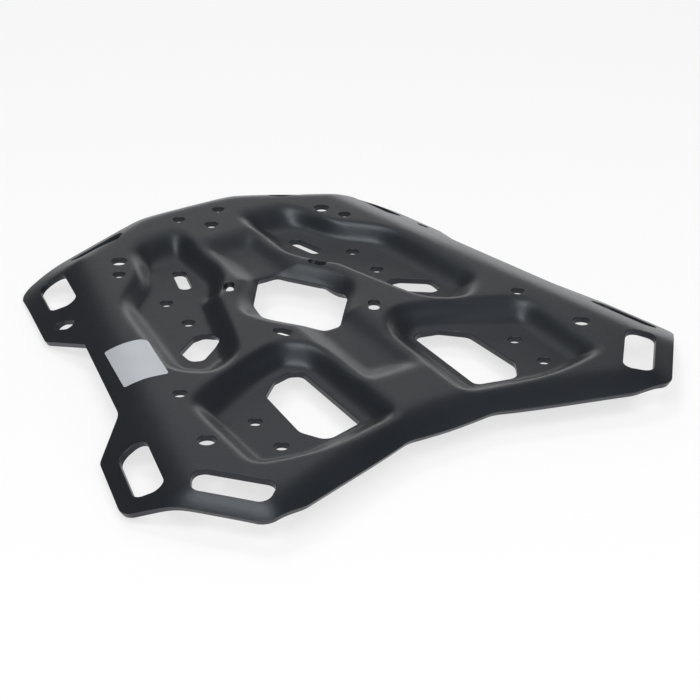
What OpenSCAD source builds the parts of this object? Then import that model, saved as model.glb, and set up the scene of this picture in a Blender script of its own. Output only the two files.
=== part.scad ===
// Motorcycle luggage rack: one pressed sheet with four ears, four sunk
// pockets and a centre channel, pierced for straps and bolts, with one blank
// sticker on its left flank. X runs across, Y points to the front of the
// motorcycle and Z up. The origin is on the ground, under the middle.

/* [Sheet] */
// Thickness of the sheet
sheet = 4; // [3:0.25:6]
// Depth of the four side pockets under the top land
pocket_depth = 9; // [5:0.5:14]
// Depth of the channel that runs through the centre
channel_depth = 5.7; // [3:0.1:9]
// Depth of the dish around the centre opening
eye_depth = 8; // [5:0.5:11]
// Size of the facets of the pressed surface
facet = 8.1; // [8:0.1:12]

/* [Outline] */
// Half the length of the straight front edge
front_half = 34; // [26:1:44]
// Front edge, ahead of the centre opening
front_y = 153; // [146:0.5:165]
// Half the width at the front corners of the front ears
ear_nose_half = 134; // [127:1:141]
// Front corners of the front ears, ahead of the opening
ear_nose_y = 132.5; // [125:0.5:139]
// Half the width at the rear corners of the front ears
ear_heel_half = 147.5; // [142:0.5:156]
// Rear corners of the front ears, ahead of the opening
ear_heel_y = 60.5; // [52:0.5:64]
// Half the width at the notch behind the front ears
notch_half = 135.5; // [131:0.5:139]
// Notch behind the front ears, ahead of the opening
notch_y = 27; // [16:1:36]
// Half the width at the waist
waist_half = 153.5; // [149:0.5:158]
// Waist, behind the opening
waist_y = 58; // [50:1:66]
// Half the width at the shoulders of the rear ears
shoulder_half = 178.5; // [172:0.5:184]
// Shoulders of the rear ears, behind the opening
shoulder_y = 84; // [76:1:92]
// Half the width across the rear ears
rear_ear_half = 190.5; // [185:0.5:198]
// Widest point of the rear ears, behind the opening
rear_ear_y = 136; // [130:1:144]
// Half the width at the tail corners
tail_half = 135.5; // [130:0.5:141]
// Tail corners, behind the opening
tail_y = 199; // [194:1:206]
// Half the width where the rear edge starts to run to the tail corners
flare_half = 110; // [100:1:118]
// Start of that run, behind the opening
flare_y = 196.5; // [190:0.5:202]
// Half the length of the straight rear edge
rear_half = 28.7; // [22:0.1:40]
// Rear edge, behind the opening
rear_y = 170.5; // [166:0.5:180]

/* [Rolled edges] */
// Half the width of the flat land beside the opening
land_half = 112; // [108:0.5:116]
// Growth of that half width for each millimetre to the rear
land_taper = 0.224; // [0.18:0.002:0.26]
// Radius of the roll along the sides and ears
side_roll_r = 50; // [42:1:70]
// Slope at which that roll runs on straight
side_steep = 0.55; // [0.45:0.01:0.7]
// Radius of the roll along the slanted front edges
front_roll_r = 18; // [14:1:30]
// Slope at which that roll runs on straight
front_steep = 0.53; // [0.4:0.01:0.7]
// Half the length over which each fold line eases into its roll
fold_soft = 6; // [3:0.5:8]
// Width of the front roll at its inner end
front_roll_w = 7; // [5:0.5:10]
// Width of the front roll halfway to the ear
front_roll_mid_w = 23.5; // [20:0.5:27]
// Radius of the roll along the rear edges
rear_roll_r = 40.5; // [36:0.5:60]
// Width of the rear roll at the straight edge
rear_roll_w = 27; // [22:0.5:30]
// Width of the rear roll at the tail corners
tail_roll_w = 22; // [18:0.5:26]

/* [Walls] */
// How far each wall reaches in over the floor of its pocket
wall_in = 3; // [1:0.5:5]
// How far each wall reaches out beyond its own width
wall_out = 9; // [5:0.5:12]

/* [Front pockets] */
// Half the gap between the two front pockets at their noses
nose_in = 36; // [33:0.5:38]
// Half the width over the noses
nose_out = 60; // [57:0.5:62]
// Front end of the noses
nose_front = 96.5; // [93:0.5:100]
// Half the gap between the front pockets beside the opening
field_in = 62.5; // [60:0.5:64]
// Half the width over the front pockets, at their front
field_out = 87.5; // [85:0.5:90]
// Half the width over the front pockets, at their rear
field_rear_out = 96.5; // [94:0.5:98]
// Rear end of the front pockets, behind the opening
field_rear = 37.5; // [35:0.5:40]
// Width of the inner walls of the front pockets
front_wall = 11; // [8:0.5:13]
// Width of the wall ahead of the noses
nose_wall = 25; // [18:0.5:28]
// Width of the outer and rear walls of the front pockets
field_wall = 14; // [10:0.5:16]

/* [Rear pockets] */
// Half the gap between the two rear pockets
rear_in = 35.5; // [34:0.5:38]
// Half the width over the rear pockets
rear_out = 105.5; // [102:0.5:108]
// Front end of the rear pockets, at their inner side
rear_pocket_front = 61; // [59:0.5:63]
// Front end of the rear pockets, at their outer side
rear_pocket_front_out = 92; // [89:0.5:94]
// Rear end of the rear pockets
rear_pocket_rear = 147; // [145:0.5:150]
// Width of the long slanted wall of the rear pockets
slant_wall = 18; // [14:0.5:20]
// Width of the side walls of the rear pockets
rear_wall = 11; // [9:0.5:13]
// Width of their walls at the front and rear
rear_end_wall = 14; // [10:0.5:16]

/* [Centre channel] */
// Width of the floor of the channel
channel_w = 11; // [8:0.5:14]
// Front end of the channel floor
channel_front = 77.5; // [74:0.5:82]
// Rear end of the channel floor
channel_rear = 91; // [88:1:95]
// Width of the side walls of the channel
channel_wall = 14; // [10:0.5:16]
// Width of the walls at its two ends
channel_end_wall = 20; // [14:0.5:24]
// Half the width of the floor of the dish around the opening
eye_half = 22.5; // [20:0.5:25]
// Front end of the dish floor
eye_front = 34; // [30:0.5:37]
// Rear end of the dish floor
eye_rear = 32.5; // [29:0.5:36]
// Width of the walls of the dish
eye_wall = 13; // [10:0.5:16]
// Half the width of the centre opening
opening_half = 29.2; // [27.2:0.2:31]
// Front edge of the centre opening
opening_front = 40.5; // [38:0.5:43]
// Rear edge of the centre opening
opening_rear = 39.5; // [37:0.5:42]
// Half the length of the short front and rear sides of the opening
opening_tip = 6.5; // [5:0.25:8]

/* [Strap windows] */
// Width of the rail left outside the ear windows
rail = 9; // [7.5:0.25:10]
// Width of the windows in the front ears
front_window_w = 16.5; // [13:0.5:18]
// Length of the windows in the front ears, along the inner side
front_window_l = 46; // [42:0.5:48]
// Width of the small slots behind them
ear_slot_w = 7; // [5:0.5:9]
// Length of the small slots
ear_slot_l = 13.5; // [11:0.5:16]
// Width of the side windows in the rear ears
rear_window_w = 16.5; // [13:0.5:18]
// Length of the side windows in the rear ears
rear_window_l = 53.5; // [49:0.5:57]
// Rail left outside the slanted rear windows
tail_rail = 11; // [9:0.5:12]
// Width of the slanted rear windows
tail_window_w = 18.5; // [15:0.5:20]
// Length of the slanted rear windows
tail_window_l = 50; // [44:0.5:52]
// Rail left outside the slots in the slanted front edges
front_rail = 7.5; // [6:0.25:8.5]
// Width of those slots
front_slot_w = 8.5; // [7:0.25:9.5]
// Length of those slots
front_slot_l = 48; // [40:1:52]
// Width of the large windows in the rear pockets
big_window_w = 35; // [31:0.5:37]
// Length of the large windows in the rear pockets
big_window_l = 76; // [70:0.5:79]
// Width of the slots in the noses of the front pockets
nose_slot_w = 8.5; // [7:0.25:9.5]
// Length of the slots in the noses of the front pockets
nose_slot_l = 26; // [22:0.5:28]
// Width across the rack of the windows in the front pockets
field_window_w = 27; // [23:0.5:29]
// Width of the four short slots around the opening
short_slot_w = 7; // [6:0.25:8.5]
// Length of the four short slots around the opening
short_slot_l = 12.5; // [10:0.5:15]

/* [Bolt holes] */
// Diameter of the small holes
hole_d = 8; // [6:0.1:9]
// Diameter of the four large holes
large_hole_d = 10.2; // [8.5:0.1:12]
// Diameter of the single hole behind the front pair
single_hole_d = 8.8; // [7:0.1:10]
// Spacing of the front pair
front_pair = 30.2; // [24:0.2:36]
// Spacing of the large front holes
large_front_pair = 152.6; // [148:0.2:157]
// Spacing of the small holes behind them
second_pair = 168.8; // [165:0.2:172]
// Spacing across the pockets of the four front pocket holes
front_quad_w = 138; // [134:0.5:142]
// Spacing across the pockets of the four rear pocket holes
rear_quad_w = 181; // [177:0.5:185]
// Spacing along the rack of the holes in each pocket
quad_l = 30; // [26:0.5:33]
// Spacing of the holes behind the waist
waist_pair = 238; // [232:0.5:244]
// Spacing of the large rear holes
large_rear_pair = 258.6; // [253:0.2:264]

/* [Sticker] */
// Width of the blank sticker
label_w = 27; // [20:0.5:30]
// Length of the blank sticker
label_l = 45; // [36:0.5:50]
// Thickness of the sticker
label_t = 0.25; // [0.1:0.05:0.5]

/* [Hidden] */
// Corner radii: ears, wide bends, windows and narrow slots
ear_r = 14;
bend_r = 30;
window_r = 8;
slot_r = 3.5;
// Steps in each rounded corner
arc_steps = 4;
// Half the height of the cutting blocks, and of the ring that trims the grid
reach = 60;
far = 400;
// Longest side of a wall that follows the surface, and its spare height
side_step = 14;
spare = 2;
// Places of the holes ahead of (+) and behind (-) the opening
front_pair_y = 135.2;
single_hole_y = 116.9;
large_front_y = 100.3;
second_pair_y = 83.6;
front_quad_y = 33.2;
rear_quad_y = -119.8;
waist_pair_y = -67.9;
large_rear_y = -120.1;
// Corner of the sticker nearest the front and the edge, and its lean
label_at = [-132.5, 4.5];
label_lean = 10.5;

// Right half of the outline: x, y and corner radius, from front to rear
half_outline = [
    [front_half, front_y, bend_r], [ear_nose_half, ear_nose_y, 18],
    [ear_heel_half, ear_heel_y, 9], [notch_half, notch_y, 5],
    [waist_half, -waist_y, ear_r], [shoulder_half, -shoulder_y, 10],
    [rear_ear_half, -rear_ear_y, ear_r], [tail_half, -tail_y, ear_r],
    [flare_half, -flare_y, bend_r], [rear_half, -rear_y, bend_r]];

function xy(p) = [p[0], p[1]];
function flip(shape) = [for (i = [len(shape) - 1:-1:0]) let(p = shape[i]) [-p[0], p[1], p[2]]];
full_outline = concat(half_outline, flip(half_outline));

// Point s along the edge from a to b and t inside it, for an outline that
// runs clockwise seen from above
function inset(a, b, s, t) =
    let(u = (xy(b) - xy(a)) / norm(xy(b) - xy(a)))
    xy(a) + s * u + t * [u[1], -u[0]];

// Distance of p from the line a to b, positive on the left of it
function beyond(p, a, b) =
    let(u = (xy(b) - xy(a)) / norm(xy(b) - xy(a)))
    (p[1] - a[1]) * u[0] - (p[0] - a[0]) * u[1];

// Closed shape of [x, y, r] corners as points, with each corner rounded
function rounded(shape) = [for (i = [0:len(shape) - 1])
    let(n = len(shape),
        b = shape[i],
        va = xy(shape[(i + n - 1) % n]) - xy(b),
        vc = xy(shape[(i + 1) % n]) - xy(b),
        ua = va / norm(va),
        uc = vc / norm(vc),
        half = acos(max(-1, min(1, ua * uc))) / 2,
        cut = min(b[2] / tan(half), 0.49 * norm(va), 0.49 * norm(vc)),
        r = cut * tan(half),
        mid = xy(b) + (ua + uc) / norm(ua + uc) * r / sin(half),
        from = xy(b) + ua * cut - mid,
        to = xy(b) + uc * cut - mid,
        turn = atan2(from[0] * to[1] - from[1] * to[0], from * to))
    for (k = [0:arc_steps])
        let(w = turn * k / arc_steps)
        mid + [from[0] * cos(w) - from[1] * sin(w), from[0] * sin(w) + from[1] * cos(w)]];

// Fall of the surface at d past a fold line: it eases into a radius, bends
// until its slope is steep, and runs on straight from there
function roll(d, r, steep = 9) =
    let(past = abs(d) < fold_soft ? pow(d + fold_soft, 2) / (4 * fold_soft) : max(0, d),
        bent = min(past, steep * r))
    bent * bent / (2 * r) + steep * (past - bent);
function soft_max(a, b, k) = (a + b + sqrt((a - b) * (a - b) + k * k)) / 2;
function soft_min(a, b, k) = -soft_max(-a, -b, k);

nose = half_outline[0];
nose_ear = half_outline[1];
rear_ear = half_outline[6];
tail = half_outline[7];
flare = half_outline[8];
rear_corner = half_outline[9];
front_fold = [inset(nose, nose_ear, 0, front_roll_w), inset(nose, nose_ear, 51, front_roll_mid_w)];
rear_fold = [inset(flare, rear_corner, 0, tail_roll_w), inset(flare, rear_corner, 85, rear_roll_w)];
tail_fold = [inset(rear_ear, tail, 0, tail_roll_w), inset(rear_ear, tail, 80, tail_roll_w)];

function side_fall(p) = roll(p[0] - land_half + land_taper * p[1], side_roll_r, side_steep);
function front_fall(p) = roll(
    soft_max(beyond(p, front_fold[0], front_fold[1]), p[1] - front_y + front_roll_w, 4),
    front_roll_r, front_steep);
function rear_fall(p) = roll(soft_max(
    soft_min(rear_roll_w - rear_y - p[1], beyond(p, rear_fold[0], rear_fold[1]), 8),
    beyond(p, tail_fold[0], tail_fold[1]), 8), rear_roll_r);
function fall(p) = pow(pow(side_fall(p), 3) + pow(front_fall(p), 3) + pow(rear_fall(p), 3), 1 / 3);

// A sunk floor, 1 deep, with a smooth wall outside each side: the shape lists
// the floor's corners clockwise, each with the width of the wall after it. The
// fourth power rounds the corners where two walls meet.
function ramp(t) = t >= 1 ? 0 : 1 - t * t * t * (10 - t * (15 - 6 * t));
function dish(p, shape) = ramp(sqrt(norm([for (i = [0:len(shape) - 1])
    pow(max(0, (beyond(p, shape[i], shape[(i + 1) % len(shape)]) + wall_in)
        / (shape[i][2] + wall_in + wall_out)), 2)])));
function joined(a, b) = 1 - (1 - a) * (1 - b);

nose_floor = [
    [nose_in, nose_front, nose_wall], [nose_out - 6, nose_front - 2.5, front_wall],
    [nose_out, 78, front_wall], [nose_out, 50, front_wall],
    [nose_in + 9, 42, front_wall - 3], [nose_in, 55, front_wall]];
field_floor = [
    [field_in - 17.5, 57, front_wall], [field_in - 12.5, 82, field_wall],
    [field_out - 16, 63, field_wall], [field_out, 44, field_wall - 2],
    [field_rear_out, 7.5 - field_rear, field_wall], [field_rear_out - 8.5, -field_rear, field_wall],
    [field_in, 14 - field_rear, front_wall], [field_in - 10, 34, front_wall - 3]];
rear_floor = [
    [rear_in, -rear_pocket_front - 11, rear_end_wall], [rear_in + 11, -rear_pocket_front, rear_end_wall],
    [rear_in + 20.5, -rear_pocket_front - 2.5, slant_wall],
    [rear_out, -rear_pocket_front_out, rear_wall], [rear_out, 5.5 - rear_pocket_rear, rear_wall + 1],
    [rear_out - 21.5, -rear_pocket_rear, rear_end_wall], [rear_in, 10 - rear_pocket_rear, rear_wall]];
channel_floor = [
    [-channel_w / 2, channel_front, channel_end_wall], [channel_w / 2, channel_front, channel_wall],
    [channel_w / 2, -channel_rear, channel_end_wall], [-channel_w / 2, -channel_rear, channel_wall]];
half_eye = [
    [opening_tip - 1, eye_front, eye_wall], [eye_half, 10, eye_wall + 5],
    [eye_half, -5, eye_wall], [1, -eye_rear, eye_wall]];
eye_floor = concat(half_eye, [for (p = [half_eye[3], half_eye[2], half_eye[1], half_eye[0]])
    [-p[0], p[1], p[2]]]);

// Height of the pressed surface under the top land, on the right half
function height(p) = -fall(p)
    - pocket_depth * (joined(dish(p, nose_floor), dish(p, field_floor)) + dish(p, rear_floor))
    - pow(pow(channel_depth * dish(p, channel_floor), 6) + pow(eye_depth * dish(p, eye_floor), 6), 1 / 6);

// Grid that covers the outline, one row past it on every side
over = facet / 2;
cols = ceil((rear_ear_half + over) / facet);
step_x = (rear_ear_half + over) / cols;
rows = ceil((front_y + tail_y + 2 * over) / facet);
step_y = (front_y + tail_y + 2 * over) / rows;
function grid_y(j) = -tail_y - over + j * step_y;
half_heights = [for (i = [0:cols]) [for (j = [0:rows]) height([i * step_x, grid_y(j)])]];
function top_z(i, j) = half_heights[abs(i)][j];

// Length of the sheet's section, cut straight down, at a grid point
function drop_through(i, j) =
    let(i0 = max(-cols, i - 1),
        i1 = min(cols, i + 1),
        j0 = max(0, j - 1),
        j1 = min(rows, j + 1),
        gx = (top_z(i1, j) - top_z(i0, j)) / (step_x * (i1 - i0)),
        gy = (top_z(i, j1) - top_z(i, j0)) / (step_y * (j1 - j0)))
    sheet * sqrt(1 + gx * gx + gy * gy);

// Unit normal of the surface at p, and the point s above the surface there
function normal(p) =
    let(q = [abs(p[0]), p[1]],
        gx = height(q + [0.5, 0]) - height(q - [0.5, 0]),
        gy = height(q + [0, 0.5]) - height(q - [0, 0.5]),
        n = [p[0] < 0 ? gx : -gx, -gy, 1])
    n / norm(n);
function lift(p, s) = [p[0], p[1], height([abs(p[0]), p[1]])] + s * normal(p);

// Loop of points with its long sides split, so that it follows the surface
function split(loop) = [for (i = [0:len(loop) - 1])
    let(a = loop[i], b = loop[(i + 1) % len(loop)], n = ceil(norm(b - a) / side_step))
    for (k = [0:n - 1]) a + (b - a) * k / n];
edge = split(rounded(full_outline));

// The part stands on the lowest points of its ears, so the lowest point of
// the facets' underside along the outline sets the height of the top land
function under_z(i, j) = top_z(i, j) - drop_through(i, j);
function edge_z(p) =
    let(u = abs(p[0]) / step_x, v = (p[1] + tail_y + over) / step_y,
        i = floor(u), j = floor(v), a = u - i, b = v - j,
        left = under_z(i, j + 1), right = under_z(i + 1, j))
    a + b < 1 ? (1 - a - b) * under_z(i, j) + a * right + b * left
              : (a + b - 1) * under_z(i + 1, j + 1) + (1 - a) * left + (1 - b) * right;
land_z = -min([for (p = edge) edge_z(lift(p, -sheet))]);
middle_y = (max([for (p = edge) p[1]]) + min([for (p = edge) p[1]])) / 2;

module place() {
    translate([0, -middle_y, land_z]) children();
}

// Solid between two layers of the pressed surface, over part of the grid
module layer(i0, i1, j0, j1, up, skin) {
    m = j1 - j0 + 1;
    n = (i1 - i0 + 1) * m;
    points = concat(
        [for (i = [i0:i1]) for (j = [j0:j1])
            [i * step_x, grid_y(j), top_z(i, j) + up]],
        [for (i = [i0:i1]) for (j = [j0:j1])
            [i * step_x, grid_y(j), top_z(i, j) - (skin ? 0 : drop_through(i, j))]]);
    top = [for (i = [0:i1 - i0 - 1]) for (j = [0:m - 2])
        let(a = i * m + j)
        for (f = i0 + i < 0 ? [[a, a + 1, a + m + 1], [a, a + m + 1, a + m]]
                            : [[a, a + 1, a + m], [a + 1, a + m + 1, a + m]]) f];
    bottom = [for (f = top) [f[2] + n, f[1] + n, f[0] + n]];
    last = n - m;
    ends = [for (j = [0:m - 2])
        for (f = [[j, j + n, j + 1 + n, j + 1],
                  [last + j + 1, last + j + 1 + n, last + j + n, last + j]]) f];
    sides = [for (i = [0:i1 - i0 - 1])
        let(a = i * m, b = i * m + m - 1)
        for (f = [[a + m, a + m + n, a + n, a], [b, b + n, b + m + n, b + m]]) f];
    polyhedron(points, concat(top, bottom, ends, sides));
}

module block(shape) {
    translate([0, 0, -reach]) linear_extrude(2 * reach) polygon(rounded(shape));
}

// Walls that run square through the sheet, from above it to under it
function wall_points(loop) = concat(
    [for (p = loop) lift(p, spare)], [for (p = loop) lift(p, -sheet - spare)]);

// Cutter for a window whose walls stand square to the sheet
module square_cut(shape) {
    loop = split(rounded(shape));
    n = len(loop);
    mid = [for (k = [0, 1]) [for (p = loop) p[k]] * [for (p = loop) 1] / n];
    points = concat(wall_points(loop), [lift(mid, spare), lift(mid, -sheet - spare)]);
    polyhedron(points, [for (i = [0:n - 1])
        let(j = (i + 1) % n)
        for (f = [[i, j, 2 * n], [n + j, n + i, 2 * n + 1], [j, i, n + i], [j, n + i, n + j]]) f]);
}

// Ring round the outline, with inner walls that stand square to the sheet
module trim() {
    n = len(edge);
    points = concat(wall_points(edge),
        [for (p = edge) [2 * p[0], 2 * p[1], far]],
        [for (p = edge) [2 * p[0], 2 * p[1], -far]]);
    polyhedron(points, [for (i = [0:n - 1])
        let(j = (i + 1) % n)
        for (q = [[i, j, n + j, n + i], [i, 2 * n + i, 2 * n + j, j],
                  [n + j, 3 * n + j, 3 * n + i, n + i],
                  [2 * n + j, 2 * n + i, 3 * n + i, 3 * n + j]])
            for (f = [[q[0], q[1], q[2]], [q[0], q[2], q[3]]]) f]);
}

module both() {
    children();
    mirror([1, 0, 0]) children();
}

// Four-sided window along the edge a to b: outer side, then inner side
function edge_window(a, b, outer, inner, near, far, radius) = [
    concat(inset(a, b, outer[0], near), radius), concat(inset(a, b, outer[1], near), radius),
    concat(inset(a, b, inner[1], far), radius), concat(inset(a, b, inner[0], far), radius)];

// Straight slot of given length and width, around a middle point
function slot_shape(at, l, w, angle) =
    let(u = [cos(angle), sin(angle)], v = [-u[1], u[0]])
    [for (k = [[-1, 1], [1, 1], [1, -1], [-1, -1]])
        concat(at + k[0] * l / 2 * u + k[1] * w / 2 * v, 0.48 * w)];

module ear_windows() {
    heel = half_outline[2];
    shoulder = half_outline[5];
    square_cut(edge_window(nose_ear, heel, [9, front_window_l], [10, 10 + front_window_l],
        rail + 1.5, rail + 1.5 + front_window_w, window_r));
    square_cut(slot_shape([ear_heel_half - 14, ear_heel_y + 0.5], ear_slot_l, ear_slot_w, 64));
    square_cut(edge_window(shoulder, rear_ear, [6, rear_window_l - 6], [2, 2 + rear_window_l],
        rail, rail + rear_window_w, window_r));
    square_cut(edge_window(rear_ear, tail, [36, 30 + tail_window_l], [30, 30 + tail_window_l],
        tail_rail, tail_rail + tail_window_w, window_r - 1));
    square_cut(edge_window(nose, nose_ear, [20, 20 + front_slot_l], [32, 15 + front_slot_l],
        front_rail, front_rail + front_slot_w, slot_r));
}

module pocket_windows() {
    x0 = rear_in + 4;
    x1 = field_in + 1;
    y0 = -rear_pocket_front - 6;
    y1 = y0 - big_window_l;
    block([[x0, y0 - 3, 6], [x0 + 6.5, y0, 5], [x0 + 18.5, y0 - 3, 6],
        [x0 + big_window_w - 3, y0 - 16, 8], [x0 + big_window_w, y1 + 15.5, 10],
        [x0 + big_window_w - 9, y1, 8], [x0, y1 + 6.5, 5]]);
    block(slot_shape([nose_in + 10, 71], nose_slot_l, nose_slot_w, 105));
    block([[x1, -5, 4], [x1 + 2.5, 1, 4], [x1 + 11.5, 0, 5],
        [x1 + field_window_w, -11.5, 6], [x1 + field_window_w - 0.5, -25, 5],
        [x1 + field_window_w - 7.5, -28, 5], [x1 + 0.5, -13.5, 5]]);
    block(slot_shape([32.5, 32.7], short_slot_l, short_slot_w, -60));
    block(slot_shape([32.5, -36], short_slot_l, short_slot_w, 60));
}

module centre_opening() {
    half = [[opening_tip, opening_front, 5], [opening_half - 3.6, 13, 8],
        [opening_half, -6, 8], [opening_half - 2.8, -14, 8], [opening_tip - 1, -opening_rear, 5]];
    block(concat(half, flip(half)));
}

module hole_pair(spacing, y, d) {
    for (side = [-1, 1])
        translate([side * spacing / 2, y, -reach]) cylinder(h = 2 * reach, d = d, $fn = 32);
}

module holes() {
    hole_pair(front_pair, front_pair_y, hole_d);
    translate([0, single_hole_y, -reach]) cylinder(h = 2 * reach, d = single_hole_d, $fn = 32);
    hole_pair(large_front_pair, large_front_y, large_hole_d);
    hole_pair(second_pair, second_pair_y, hole_d);
    hole_pair(waist_pair, waist_pair_y, hole_d);
    hole_pair(large_rear_pair, large_rear_y, large_hole_d);
    for (end = [-1, 1]) {
        hole_pair(front_quad_w, front_quad_y + end * quad_l / 2, hole_d);
        hole_pair(rear_quad_w, rear_quad_y + end * quad_l / 2, hole_d);
    }
}

module rack_plate() {
    color("#2b2c2e") place() difference() {
        layer(-cols, cols, 0, rows, 0, false);
        trim();
        both() ear_windows();
        both() pocket_windows();
        centre_opening();
        holes();
    }
}

module blank_label() {
    corner = label_at + [label_w * cos(label_lean), -label_w * sin(label_lean)];
    run = label_l * [-sin(label_lean), -cos(label_lean)];
    shape = [concat(label_at, 1.5), concat(corner, 1.5), concat(corner + run, 1.5),
        concat(label_at + run, 1.5)];
    i0 = floor((label_at[0] + run[0]) / step_x) - 1;
    i1 = ceil(corner[0] / step_x) + 1;
    j0 = floor((corner[1] + run[1] + tail_y + over) / step_y) - 1;
    j1 = ceil((label_at[1] + tail_y + over) / step_y) + 1;
    color("#c4c6c9") place() intersection() {
        layer(i0, i1, j0, j1, label_t, true);
        block(shape);
    }
}

rack_plate();
blank_label();
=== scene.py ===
"""Looks of the motorcycle luggage rack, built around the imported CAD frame.

The plate's fine surface is the same designed surface as in part.scad, in
millimetres around the centre opening, worked out here on a finer mesh.
"""

import math

import bpy
import numpy as np
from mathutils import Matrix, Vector
from mathutils.geometry import delaunay_2d_cdt


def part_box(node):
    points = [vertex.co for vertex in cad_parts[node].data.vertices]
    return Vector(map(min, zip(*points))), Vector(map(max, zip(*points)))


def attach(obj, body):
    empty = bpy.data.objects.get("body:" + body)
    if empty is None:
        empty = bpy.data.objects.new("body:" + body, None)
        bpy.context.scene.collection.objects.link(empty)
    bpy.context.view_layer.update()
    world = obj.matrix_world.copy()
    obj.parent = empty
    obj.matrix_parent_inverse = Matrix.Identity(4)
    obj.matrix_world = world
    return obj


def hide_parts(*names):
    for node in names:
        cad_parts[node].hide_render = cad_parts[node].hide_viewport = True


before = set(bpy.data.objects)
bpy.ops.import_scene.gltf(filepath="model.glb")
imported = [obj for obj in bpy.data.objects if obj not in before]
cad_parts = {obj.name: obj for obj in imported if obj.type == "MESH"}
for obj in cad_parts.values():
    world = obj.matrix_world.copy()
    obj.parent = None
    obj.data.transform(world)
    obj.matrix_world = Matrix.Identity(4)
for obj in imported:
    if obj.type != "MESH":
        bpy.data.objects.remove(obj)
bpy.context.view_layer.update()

# Sizes, in millimetres
SHEET = 4.0
POCKET_DEPTH, CHANNEL_DEPTH, EYE_DEPTH = 9.0, 5.7, 8.0
LAND_HALF, LAND_TAPER, SIDE_ROLL_R, SIDE_STEEP = 112.0, 0.224, 50.0, 0.55
FRONT_ROLL_R, FRONT_STEEP, FRONT_ROLL_W, FRONT_ROLL_MID_W = 18.0, 0.53, 7.0, 23.5
REAR_ROLL_R, REAR_ROLL_W, TAIL_ROLL_W = 40.5, 27.0, 22.0
WALL_IN, WALL_OUT, FOLD_SOFT = 3.0, 9.0, 6.0

HALF = [
    (34, 153, 30), (134, 132.5, 18), (147.5, 60.5, 9), (135.5, 27, 5), (153.5, -58, 14),
    (178.5, -84, 10), (190.5, -136, 14), (135.5, -199, 14), (110, -196.5, 30), (28.7, -170.5, 30),
]
NOSE = [(36, 96.5, 25), (54, 94, 11), (60, 78, 11), (60, 50, 11), (45, 42, 8), (36, 55, 11)]
FIELD = [
    (45, 57, 11), (50, 82, 14), (71.5, 63, 14), (87.5, 44, 12), (96.5, -30, 14),
    (88, -37.5, 14), (62.5, -23.5, 11), (52.5, 34, 8),
]
REAR = [
    (35.5, -72, 14), (46.5, -61, 14), (56, -63.5, 18), (105.5, -92, 11), (105.5, -141.5, 12),
    (84, -147, 14), (35.5, -137, 11),
]
CHANNEL = [(-5.5, 77.5, 20), (5.5, 77.5, 14), (5.5, -91, 20), (-5.5, -91, 14)]
HALF_EYE = [(5.5, 34, 13), (22.5, 10, 18), (22.5, -5, 13), (1, -32.5, 13)]
OPENING = [(6.5, 40.5, 5), (25.6, 13, 8), (29.2, -6, 8), (26.4, -14, 8), (5.5, -39.5, 5)]
HOLES = [  # x, y, diameter, on both sides
    (15.1, 135.2, 8), (76.3, 100.3, 10.2), (84.4, 83.6, 8), (119, -67.9, 8), (129.3, -120.1, 10.2),
    (69, 48.2, 8), (69, 18.2, 8), (90.5, -104.8, 8), (90.5, -134.8, 8),
]
SINGLE_HOLE = (0, 116.9, 8.8)
LABEL_AT, LABEL_LEAN, LABEL_W, LABEL_L = (-132.5, 4.5), 10.5, 27.0, 45.0
LABEL_T = 0.25
LABEL_CORNER_R = 1.5
EAR_SLOT, NOSE_SLOT, SHORT_SLOT = (13.5, 7), (26, 8.5), (12.5, 7)  # length, width
FRONT_FOLD_SOFT, REAR_FOLD_SOFT = 4, 8

# Mesh pitches and rim radii, in millimetres
OUTLINE_PITCH, WINDOW_PITCH, PLATE_PITCH, PLATE_LIP = 1.2, 1.0, 1.9, 0.45
LABEL_EDGE_PITCH, LABEL_PITCH, LABEL_LIP = 0.8, 1.6, 0.08
ROW_HEIGHT = 0.866  # of a grid of even triangles, by its pitch
RIM_ANGLES = (30, 60, 90)
MM_PER_M = 1000


# Plan geometry
def vec(p):
    return np.array(p[:2], float)


def flip(shape):
    return [(-x, y, r) for x, y, r in reversed(shape)]


def inset(a, b, s, t):
    """The point s along the edge from a to b and t to its right, inside a clockwise outline."""
    u = (vec(b) - vec(a)) / np.linalg.norm(vec(b) - vec(a))
    return vec(a) + s * u + t * np.array([u[1], -u[0]])


def beyond(x, y, a, b):
    """Distance from the line through a and b, positive on the left of it."""
    u = (vec(b) - vec(a)) / np.linalg.norm(vec(b) - vec(a))
    return (y - a[1]) * u[0] - (x - a[0]) * u[1]


def rounded(shape, pitch):
    """A closed loop with each corner rounded to its radius, as points at most pitch apart."""
    n, out = len(shape), []
    for i, b in enumerate(shape):
        va, vc = vec(shape[i - 1]) - vec(b), vec(shape[(i + 1) % n]) - vec(b)
        la, lc = np.linalg.norm(va), np.linalg.norm(vc)
        ua, uc = va / la, vc / lc
        half = math.acos(max(-1, min(1, float(ua @ uc)))) / 2
        cut = min(b[2] / math.tan(half), 0.49 * la, 0.49 * lc)
        r = cut * math.tan(half)
        mid = vec(b) + (ua + uc) / np.linalg.norm(ua + uc) * r / math.sin(half)
        first, last = vec(b) + ua * cut - mid, vec(b) + uc * cut - mid
        turn = math.atan2(first[0] * last[1] - first[1] * last[0], float(first @ last))
        steps = max(4, int(abs(turn) * r / pitch) + 1)
        w = np.linspace(0, turn, steps + 1)
        arc = np.c_[
            first[0] * np.cos(w) - first[1] * np.sin(w),
            first[0] * np.sin(w) + first[1] * np.cos(w),
        ]
        out.append(arc + mid)
    pts = np.vstack(out)
    loop = []
    for a, b in zip(pts, np.roll(pts, -1, axis=0)):
        k = max(1, int(np.linalg.norm(b - a) / pitch + 0.999))
        loop.extend(a + (b - a) * j / k for j in range(k))
    loop = np.array(loop)
    keep = np.linalg.norm(loop - np.roll(loop, 1, axis=0), axis=1) > 0.05
    return loop[keep]


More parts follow.
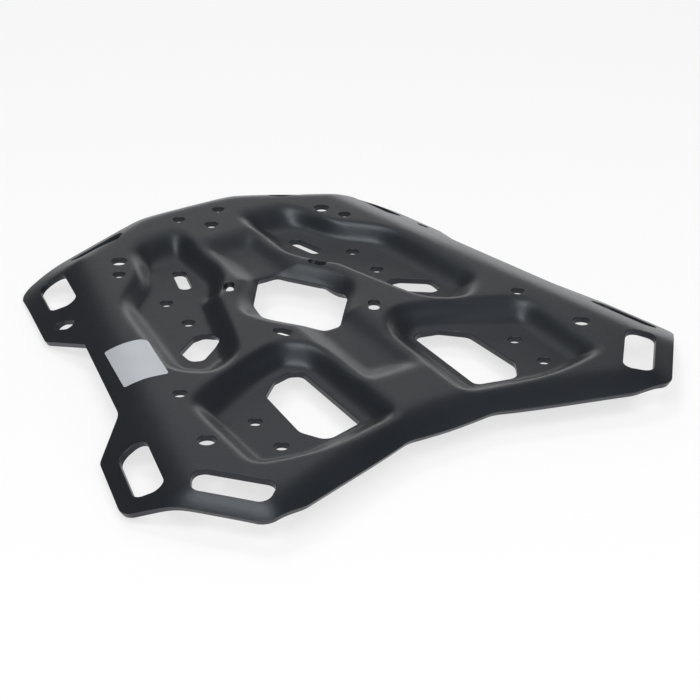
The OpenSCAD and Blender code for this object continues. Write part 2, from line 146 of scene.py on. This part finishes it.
def circle(x, y, d, n=40):
    w = np.linspace(0, 2 * np.pi, n, endpoint=False)
    return np.c_[x + d / 2 * np.cos(w), y + d / 2 * np.sin(w)]


def edge_window(a, b, outer, inner, near, far, radius):
    return [
        (*inset(a, b, outer[0], near), radius), (*inset(a, b, outer[1], near), radius),
        (*inset(a, b, inner[1], far), radius), (*inset(a, b, inner[0], far), radius),
    ]


def slot_shape(at, length, width, angle):
    w = math.radians(angle)
    u, v = np.array([math.cos(w), math.sin(w)]), np.array([-math.sin(w), math.cos(w)])
    ends = [(-1, 1), (1, 1), (1, -1), (-1, -1)]
    return [(*(vec(at) + i * length / 2 * u + j * width / 2 * v), 0.48 * width) for i, j in ends]


def window_shapes():
    """The windows of the right half, each as a list of corners with radii."""
    nose, ear, heel, shoulder, rear_ear, tail = (HALF[i] for i in (0, 1, 2, 5, 6, 7))
    return [
        edge_window(ear, heel, (9, 46), (10, 56), 10.5, 27, 8),
        slot_shape((133.5, 61), *EAR_SLOT, 64),
        edge_window(shoulder, rear_ear, (6, 47.5), (2, 55.5), 9, 25.5, 8),
        edge_window(rear_ear, tail, (36, 80), (30, 80), 11, 29.5, 7),
        edge_window(nose, ear, (20, 68), (32, 63), 7.5, 16, 3.5),
        [
            (39.5, -70, 6), (46, -67, 5), (58, -70, 6), (71.5, -83, 8), (74.5, -127.5, 10),
            (65.5, -143, 8), (39.5, -136.5, 5),
        ],
        slot_shape((46, 71), *NOSE_SLOT, 105),
        [
            (63.5, -5, 4), (66, 1, 4), (75, 0, 5), (90.5, -11.5, 6), (90, -25, 5),
            (83, -28, 5), (64, -13.5, 5),
        ],
        slot_shape((32.5, 32.7), *SHORT_SLOT, -60),
        slot_shape((32.5, -36), *SHORT_SLOT, 60),
    ]


# Pressed surface
def soft_max(a, b, k):
    """The larger of a and b, rounded off over about k where they meet."""
    return (a + b + np.sqrt((a - b) ** 2 + k * k)) / 2


def roll(d, r, steep=9.0):
    """Fall at d past a fold line: a parabola of radius r, straight on once its slope is steep.

    Within FOLD_SOFT of the line d itself starts as a parabola, so the fold is eased.
    """
    d = np.where(np.abs(d) < FOLD_SOFT, (d + FOLD_SOFT) ** 2 / (4 * FOLD_SOFT), np.maximum(0, d))
    bent = np.minimum(d, steep * r)
    return bent ** 2 / (2 * r) + steep * (d - bent)


def ramp(t):
    """1 at 0 and 0 at 1, level and without curvature at both ends."""
    t = np.clip(t, 0, 1)
    return 1 - t * t * t * (10 - t * (15 - 6 * t))


def dish(x, y, shape):
    """1 over the floor of a pocket, falling to 0 over a wall outside each side of it.

    A smooth ramp of the fourth root of the sum of the fourth powers of the
    distances past the sides, each as a share of that side's wall.
    """
    total = 0
    for a, b in zip(shape, shape[1:] + shape[:1]):
        past = (beyond(x, y, a, b) + WALL_IN) / (a[2] + WALL_IN + WALL_OUT)
        total = total + np.maximum(0, past) ** 4
    return ramp(total ** 0.25)


def joined(a, b):
    return 1 - (1 - a) * (1 - b)


def fold(first, last, length, start_w, end_w):
    """Two points of a fold line beside an edge of the outline, at its start and length along."""
    a, b = HALF[first], HALF[last]
    return inset(a, b, 0, start_w), inset(a, b, length, end_w)


FOLD_FRONT = fold(0, 1, 51, FRONT_ROLL_W, FRONT_ROLL_MID_W)
FOLD_REAR = fold(8, 9, 85, TAIL_ROLL_W, REAR_ROLL_W)
FOLD_TAIL = fold(6, 7, 80, TAIL_ROLL_W, TAIL_ROLL_W)
EYE = HALF_EYE + [(-x, y, w) for x, y, w in reversed(HALF_EYE)]


def height(x, y):
    """Height of the sheet's top over (x, y), with the flat land at 0.

    The cube root of the sum of the cubes of three falls, along the sides, the
    slanted front edges and the rear edges, each a parabola past its fold line.
    The pockets are dishes below that. So are the centre channel and the dish
    around the opening, joined by the sixth root of the sum of their sixth powers.
    """
    x = np.abs(x)
    side = roll(x - LAND_HALF + LAND_TAPER * y, SIDE_ROLL_R, SIDE_STEEP)
    ahead = y - HALF[0][1] + FRONT_ROLL_W
    ahead = soft_max(beyond(x, y, *FOLD_FRONT), ahead, FRONT_FOLD_SOFT)
    front = roll(ahead, FRONT_ROLL_R, FRONT_STEEP)
    straight = REAR_ROLL_W + HALF[9][1] - y
    rear = -soft_max(-straight, -beyond(x, y, *FOLD_REAR), REAR_FOLD_SOFT)
    rear = soft_max(rear, beyond(x, y, *FOLD_TAIL), REAR_FOLD_SOFT)
    fall = np.cbrt(side ** 3 + front ** 3 + roll(rear, REAR_ROLL_R) ** 3)
    pockets = joined(dish(x, y, NOSE), dish(x, y, FIELD)) + dish(x, y, REAR)
    centre = (CHANNEL_DEPTH * dish(x, y, CHANNEL)) ** 6 + (EYE_DEPTH * dish(x, y, EYE)) ** 6
    return -fall - POCKET_DEPTH * pockets - centre ** (1 / 6)


def slopes(x, y, d=0.05):
    along_x = height(x + d, y) - height(x - d, y)
    along_y = height(x, y + d) - height(x, y - d)
    return along_x / (2 * d), along_y / (2 * d)


def surface(xy):
    """Points on the sheet's top and their unit normals."""
    x, y = xy[:, 0], xy[:, 1]
    gx, gy = slopes(x, y)
    n = np.c_[-gx, -gy, np.ones_like(x)]
    return np.c_[x, y, height(x, y)], n / np.linalg.norm(n, axis=1)[:, None]


def inside(xy, loop):
    """Which points lie inside the closed loop, by the crossings to their right."""
    hit = np.zeros(len(xy), bool)
    near = np.flatnonzero(np.all((xy >= loop.min(0)) & (xy <= loop.max(0)), axis=1))
    if len(near) == 0:
        return hit
    p = xy[near]
    odd = np.zeros(len(p), bool)
    for a, b in zip(loop, np.roll(loop, -1, axis=0)):
        if a[1] == b[1]:
            continue
        cross = (a[1] > p[:, 1]) != (b[1] > p[:, 1])
        odd ^= cross & (p[:, 0] < a[0] + (p[:, 1] - a[1]) * (b[0] - a[0]) / (b[1] - a[1]))
    hit[near] = odd
    return hit


def near_loop(xy, loop, gap):
    """Which points lie within gap of the loop's points."""
    hit = np.zeros(len(xy), bool)
    near = np.flatnonzero(np.all((xy >= loop.min(0) - gap) & (xy <= loop.max(0) + gap), axis=1))
    for k in range(0, len(near), 4000):
        part = near[k:k + 4000]
        d = np.min(np.sum((xy[part, None, :] - loop[None, :, :]) ** 2, axis=2), axis=1)
        hit[part] = d < gap * gap
    return hit


def pressed_piece(name, outer, holes, up, down, lip, pitch):
    """A layer of the pressed surface between two offsets along its normals.

    Its walls stand square to the sheet, and their rims are rounded with
    radius lip. Offsets and lip are in millimetres.
    """
    loops = [outer] + holes
    rings, rims = [], []
    for k, loop in enumerate(loops):
        base, normal = surface(loop)
        along = np.roll(loop, -1, axis=0) - np.roll(loop, 1, axis=0)
        area = np.sum(loop[:, 0] * np.roll(loop[:, 1], -1) - loop[:, 1] * np.roll(loop[:, 0], -1))
        sense = (1 if area > 0 else -1) * (1 if k == 0 else -1)
        gx, gy = slopes(loop[:, 0], loop[:, 1])
        tangent = np.c_[along, gx * along[:, 0] + gy * along[:, 1]]
        out = np.cross(tangent, normal) * sense
        out /= np.linalg.norm(out, axis=1)[:, None]
        rings.append((base, normal, out, sense))
        rims.append((base - lip * out)[:, :2])
    lo, hi = outer.min(0), outer.max(0)
    gx, gy = np.meshgrid(
        np.arange(math.floor(lo[0] / pitch) * pitch, hi[0], pitch),
        np.arange(math.floor(lo[1] / pitch) * pitch, hi[1], pitch * ROW_HEIGHT),
    )
    gx = gx + (np.arange(gx.shape[0]) % 2)[:, None] * pitch / 2
    grid = np.c_[gx.ravel(), gy.ravel()]
    grid = grid[inside(grid, rims[0])]
    for rim in rims[1:]:
        grid = grid[~inside(grid, rim)]
    for rim in rims:
        grid = grid[~near_loop(grid, rim, pitch * 0.62)]
    plan = np.vstack(rims + [grid])
    edges, start = [], 0
    for rim in rims:
        n = len(rim)
        edges += [(start + i, start + (i + 1) % n) for i in range(n)]
        start += n
    made = delaunay_2d_cdt([Vector(p) for p in plan], edges, [], 0, 1e-7)
    plan2 = np.array([tuple(v) for v in made[0]])
    tris = np.array([f for f in made[2] if len(f) == 3])
    if len(plan2) != len(plan) or np.abs(plan2 - plan).max() > 1e-4:
        raise RuntimeError(name + ": the plan's points moved")
    centre = plan2[tris].mean(axis=1)
    keep = inside(centre, rims[0])
    for rim in rims[1:]:
        keep &= ~inside(centre, rim)
    tris = tris[keep]
    a, b, c = (plan2[tris[:, i]] for i in range(3))
    turned = (b[:, 0] - a[:, 0]) * (c[:, 1] - a[:, 1]) - (b[:, 1] - a[:, 1]) * (c[:, 0] - a[:, 0]) < 0
    tris[turned] = tris[turned][:, ::-1]

    base, normal = surface(plan2)
    top = base + up * normal
    low = base + down * normal
    top_n, low_n = normal.copy(), -normal
    start = 0
    for (b_, n_, o_, s_), rim in zip(rings, rims):
        m = len(rim)
        top[start:start + m] = b_ + up * n_ - lip * o_
        low[start:start + m] = b_ + down * n_ - lip * o_
        top_n[start:start + m], low_n[start:start + m] = n_, -n_
        start += m
    n_all = len(plan2)
    verts, normals = [top, low], [top_n, low_n]
    faces = [tris, tris[:, ::-1] + n_all]
    count, start = 2 * n_all, 0
    turns = [(up - lip, math.radians(w), 1) for w in RIM_ANGLES]
    turns += [(down + lip, math.radians(w), -1) for w in reversed(RIM_ANGLES)]
    for (b_, n_, o_, s_), rim in zip(rings, rims):
        m = len(rim)
        index = [np.arange(start, start + m)]
        for level, w, side in turns:
            way = side * math.cos(w) * n_ + math.sin(w) * o_
            verts.append(b_ + level * n_ - lip * o_ + lip * way)
            normals.append(way)
            index.append(np.arange(count, count + m))
            count += m
        index.append(np.arange(start, start + m) + n_all)
        for a, b in zip(index, index[1:]):
            a2, b2 = np.roll(a, -1), np.roll(b, -1)
            quads = np.vstack([np.c_[a, b, a2], np.c_[a2, b, b2]])
            faces.append(quads if s_ > 0 else quads[:, ::-1])
        start += m
    return build(name, np.vstack(verts), np.vstack(faces), np.vstack(normals))


def build(name, verts, faces, normals):
    """A mesh object in metres in the row's frame, from millimetres around the opening."""
    verts = (verts + np.array([0, -MIDDLE_Y, LAND_Z])) / MM_PER_M
    mesh = bpy.data.meshes.new(name)
    mesh.vertices.add(len(verts))
    mesh.vertices.foreach_set("co", verts.astype(np.float32).ravel())
    mesh.loops.add(faces.size)
    mesh.loops.foreach_set("vertex_index", faces.astype(np.int32).ravel())
    mesh.polygons.add(len(faces))
    mesh.polygons.foreach_set("loop_start", np.arange(0, faces.size, 3, dtype=np.int32))
    mesh.update(calc_edges=True)
    mesh.validate()
    mesh.polygons.foreach_set("use_smooth", np.ones(len(mesh.polygons), bool))
    mesh.normals_split_custom_set_from_vertices(normals.tolist())
    obj = bpy.data.objects.new(name, mesh)
    bpy.context.collection.objects.link(obj)
    return obj


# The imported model's box places the design: its outline is centred on Y = 0,
# and the top land is the model's highest flat face.
outline = rounded(HALF + flip(HALF), OUTLINE_PITCH)
MIDDLE_Y = (outline[:, 1].min() + outline[:, 1].max()) / 2
LAND_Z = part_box("rack_plate")[1][2] * MM_PER_M

loops = []
for shape in window_shapes():
    loops += [rounded(shape, WINDOW_PITCH), rounded(flip(shape), WINDOW_PITCH)]
loops.append(rounded(OPENING + flip(OPENING), WINDOW_PITCH))
for x, y, d in HOLES:
    loops += [circle(x, y, d), circle(-x, y, d)]
loops.append(circle(*SINGLE_HOLE))
plate = pressed_piece("plate_surface", outline, loops, 0.0, -SHEET, PLATE_LIP, PLATE_PITCH)

lean = math.radians(LABEL_LEAN)
across = np.array([math.cos(lean), -math.sin(lean)]) * LABEL_W
back = np.array([-math.sin(lean), -math.cos(lean)]) * LABEL_L
at = np.array(LABEL_AT, float)
corners = [(*p, LABEL_CORNER_R) for p in (at, at + across, at + across + back, at + back)]
label_edge = rounded(corners, LABEL_EDGE_PITCH)
label = pressed_piece("label_foil", label_edge, [], LABEL_T, 0.0, LABEL_LIP, LABEL_PITCH)

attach(plate, "root")
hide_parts("rack_plate")
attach(label, "root")
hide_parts("blank_label")


# Materials
class Sock:
    """A shader value: a node's output, that can be added and multiplied."""

    def __init__(self, mat, out):
        self.mat, self.out = mat, out

    def _math(self, op, other):
        node = self.mat.nodes.new("ShaderNodeMath")
        node.operation = op
        for slot, v in zip(node.inputs, (self, other)):
            self.mat.plug(slot, v)
        return Sock(self.mat, node.outputs[0])

    def __add__(self, o):
        return self._math("ADD", o)

    def __mul__(self, o):
        return self._math("MULTIPLY", o)


class Mat:
    """A node material with one method that makes any node."""

    def __init__(self, name):
        self.material = bpy.data.materials.new(name)
        self.material.use_nodes = True
        self.tree = self.material.node_tree
        self.nodes = self.tree.nodes
        self.bsdf = self.nodes["Principled BSDF"]

    def plug(self, slot, value):
        if isinstance(value, Sock):
            self.tree.links.new(value.out, slot)
        else:
            slot.default_value = value

    def node(self, kind, out=0, props=None, **inputs):
        node = self.nodes.new("ShaderNode" + kind)
        for k, v in (props or {}).items():
            setattr(node, k, v)
        for k, v in inputs.items():
            self.plug(node.inputs[k.replace("_", " ")], v)
        return Sock(self, node.outputs[out])

    def span(self, value, low, high, to_low, to_high):
        return self.node(
            "MapRange", Value=value, From_Min=low, From_Max=high, To_Min=to_low, To_Max=to_high,
        )

    def set(self, **inputs):
        for k, v in inputs.items():
            self.plug(self.bsdf.inputs[k.replace("_", " ")], v)


def powder_coat():
    m = Mat("powder_coat")
    place = m.node("TexCoord", out=3)
    grain = m.node("TexNoise", Vector=place, Scale=900.0, Detail=2.0, Roughness=0.55)
    peel = m.node("TexNoise", Vector=place, Scale=260.0, Detail=1.0, Roughness=0.5)
    cloud = m.node("TexNoise", Vector=place, Scale=14.0, Detail=3.0, Roughness=0.5)
    bump = m.node(
        "Bump", Strength=0.35, Distance=0.0003, Height=grain * 0.65 + peel * 0.35,
    )
    shade = m.span(cloud, 0.3, 0.7, 0.0, 1.0)
    colour = m.node("Mix", out=2, props={"data_type": "RGBA"})
    m.plug(colour.out.node.inputs[0], shade)
    m.plug(colour.out.node.inputs[6], (0.0095, 0.0112, 0.0145, 1))
    m.plug(colour.out.node.inputs[7], (0.0120, 0.0138, 0.0175, 1))
    m.set(
        Base_Color=colour, Roughness=m.span(cloud, 0.3, 0.7, 0.31, 0.35) + grain * 0.04,
        Metallic=0.0, Normal=bump, IOR=1.5, Specular_Tint=(0.88, 0.95, 1.0, 1),
    )
    return m.material


def foil():
    m = Mat("label_foil")
    place = m.node("TexCoord", out=3)
    fine = m.node("TexNoise", Vector=place, Scale=500.0, Detail=2.0)
    wave = m.node("TexNoise", Vector=place, Scale=40.0, Detail=2.0)
    bump = m.node("Bump", Strength=0.3, Distance=0.0001, Height=wave * 0.7 + fine * 0.3)
    colour = m.node("Mix", out=2, props={"data_type": "RGBA"})
    m.plug(colour.out.node.inputs[0], wave)
    m.plug(colour.out.node.inputs[6], (0.52, 0.55, 0.59, 1))
    m.plug(colour.out.node.inputs[7], (0.60, 0.63, 0.67, 1))
    m.set(Base_Color=colour, Roughness=m.span(fine, 0.3, 0.7, 0.38, 0.5), Metallic=0.35, Normal=bump)
    return m.material


plate.data.materials.append(powder_coat())
label.data.materials.append(foil())


# Floor, light and camera
LAMPS = [  # name, azimuth from +Y towards +X, elevation, width, height, radiance
    ("front_wall", 38, 6, 2.4, 0.6, 2.0),
    ("front_panel", 26, 36, 1.4, 1.0, 0.65),
    ("sky_panel", 10, 58, 1.6, 0.6, 0.6),
    ("top_softbox", -15, 74, 0.7, 0.7, 8.0),
    ("left_key", -115, 52, 0.9, 0.8, 6.0),
    ("right_wall", 120, 34, 0.8, 0.8, 2.5),
    ("fill_behind_camera", -160, 45, 1.8, 1.8, 4.5),
]
LAMP_DISTANCE = 2.5
ROOM_GREY = 0.1
FLOOR_HALF = 6.0
CAMERA_LENS, CAMERA_SENSOR = 99.54, 36.0
CAMERA_AT = (-534.32, -927.01, 569.77)  # millimetres, from the middle of the opening
CAMERA_YAW, CAMERA_PITCH = 31.6559, 29.6937  # degrees from +Y towards +X, and down


def softbox(name, azimuth, elevation, width, height, radiance):
    """An area lamp that faces the object. Angles are in degrees and sizes in metres."""
    a, e = math.radians(azimuth), math.radians(elevation)
    way = Vector((math.sin(a) * math.cos(e), math.cos(a) * math.cos(e), math.sin(e)))
    place = way * LAMP_DISTANCE
    data = bpy.data.lights.new(name, "AREA")
    data.shape, data.size, data.size_y = "RECTANGLE", width, height
    data.energy = radiance * math.pi * width * height
    obj = bpy.data.objects.new(name, data)
    obj.location = place
    obj.rotation_euler = (-place).to_track_quat("-Z", "Y").to_euler()
    bpy.context.collection.objects.link(obj)


FLOOR_GLOWS_FOR = ("Is Camera Ray", "Is Glossy Ray", "Is Transmission Ray")
FLOOR_GLOW = 0.7


def floor():
    mesh = bpy.data.meshes.new("floor")
    s = FLOOR_HALF
    mesh.from_pydata([(-s, -s, 0), (s, -s, 0), (s, s, 0), (-s, s, 0)], [], [(0, 1, 2, 3)])
    obj = bpy.data.objects.new("floor", mesh)
    bpy.context.collection.objects.link(obj)
    m = Mat("floor_white")
    m.set(Base_Color=(0.92, 0.92, 0.92, 1), Roughness=0.9)
    m.plug(m.bsdf.inputs["Specular IOR Level"], 0.0)
    glow = m.node("Emission", Color=(1, 1, 1, 1), Strength=1.0)
    rays = [m.node("LightPath", out=name) for name in FLOOR_GLOWS_FOR]
    seen = (rays[0] + rays[1] + rays[2]) * FLOOR_GLOW
    mix = m.nodes.new("ShaderNodeMixShader")
    m.plug(mix.inputs[0], seen)
    m.tree.links.new(m.bsdf.outputs[0], mix.inputs[1])
    m.tree.links.new(glow.out, mix.inputs[2])
    m.tree.links.new(mix.outputs[0], m.nodes["Material Output"].inputs[0])
    obj.data.materials.append(m.material)


floor()
world = bpy.data.worlds.new("studio")
bpy.context.scene.world = world
world.use_nodes = True
world.node_tree.nodes["Background"].inputs[0].default_value = (1, 1, 1, 1)
world.node_tree.nodes["Background"].inputs[1].default_value = ROOM_GREY
for lamp in LAMPS:
    softbox(*lamp)

camera_data = bpy.data.cameras.new("camera")
camera_data.lens, camera_data.sensor_width = CAMERA_LENS, CAMERA_SENSOR
camera_data.clip_start, camera_data.clip_end = 0.05, 50
camera = bpy.data.objects.new("camera", camera_data)
bpy.context.collection.objects.link(camera)
x, y, z = CAMERA_AT
camera.location = Vector((x, y - MIDDLE_Y, z + LAND_Z)) / MM_PER_M
yaw, pitch = math.radians(CAMERA_YAW), math.radians(CAMERA_PITCH)
look = Vector((math.sin(yaw) * math.cos(pitch), math.cos(yaw) * math.cos(pitch), -math.sin(pitch)))
camera.rotation_euler = look.to_track_quat("-Z", "Y").to_euler()
bpy.context.scene.camera = camera
bpy.context.scene.view_settings.view_transform = "Standard"
